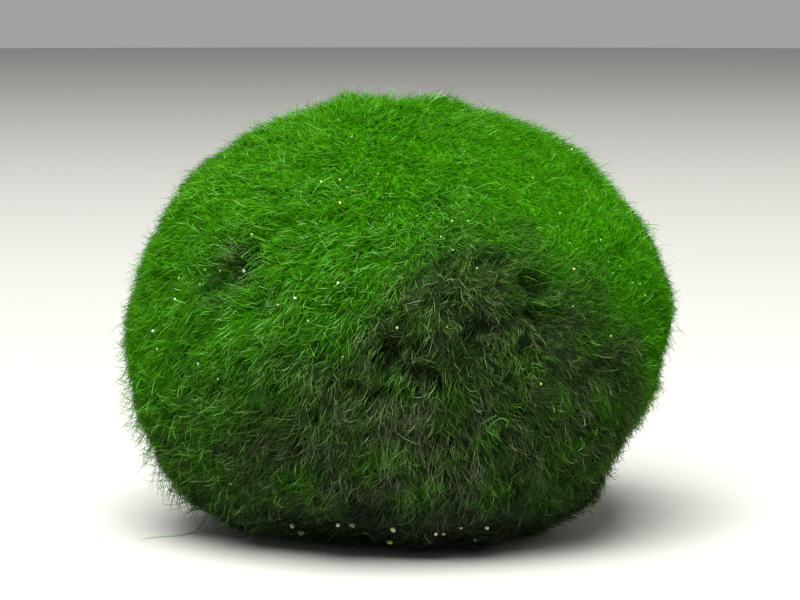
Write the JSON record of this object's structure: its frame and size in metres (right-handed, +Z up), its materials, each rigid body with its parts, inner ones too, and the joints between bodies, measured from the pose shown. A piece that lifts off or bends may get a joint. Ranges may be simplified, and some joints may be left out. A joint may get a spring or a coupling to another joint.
{
  "type": "marimo moss ball",
  "caption": "Natural ball of fine green algal filaments, wider than high, soft and tangled, resting on a small flat spot as an aquarium ornament",
  "frame": {"origin": "middle of the flat spot on which the ball rests, under the middle of its outline seen from above", "axes": "+Z is up from the ground through the ball, +X is to the right and -Y is the side that the picture shows, with the hollow at its upper left"},
  "size_m": [0.075, 0.0712, 0.0592],
  "materials": {
    "moss_green": "matte"
  },
  "bodies": {
    "root": {"moss_ball": "moss_green"}
  },
  "joints": []
}
